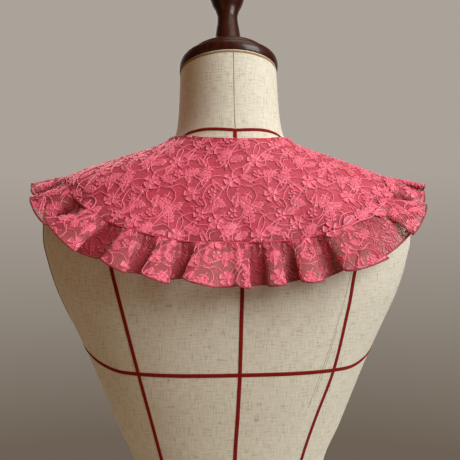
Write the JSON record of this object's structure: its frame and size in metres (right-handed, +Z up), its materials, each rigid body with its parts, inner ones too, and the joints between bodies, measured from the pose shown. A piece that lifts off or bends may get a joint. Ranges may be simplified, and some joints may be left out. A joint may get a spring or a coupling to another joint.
{
  "type": "detachable lace collar on a limbless dress form",
  "caption": "Cape-shaped lace collar with a gathered frill, worn open at the front by a limbless linen dress form with a turned neck cap.",
  "frame": {"origin": "on the surface that the form's board stands on, at the middle of the board's flat underside, below the neck", "axes": "+Z up, the form's front faces -Y, the wearer's left is +X"},
  "size_m": [0.4278, 0.2693, 0.7655],
  "materials": {
    "linen": "plain linen cover",
    "board": "plain",
    "mahogany": "gloss varnish",
    "lining": "plain weave",
    "lace": "corded lace",
    "frill": "sheer lace",
    "button": "gloss",
    "thread": "thread"
  },
  "bodies": {
    "root": {"form_torso": "linen", "form_board": "board", "form_cap": "mahogany", "form_handle": "mahogany", "collar_lining": "lining", "collar_lace": "lace", "frill_back": "frill", "frill_left": "frill", "frill_right": "frill", "button": "button", "loop": "thread"}
  },
  "joints": []
}
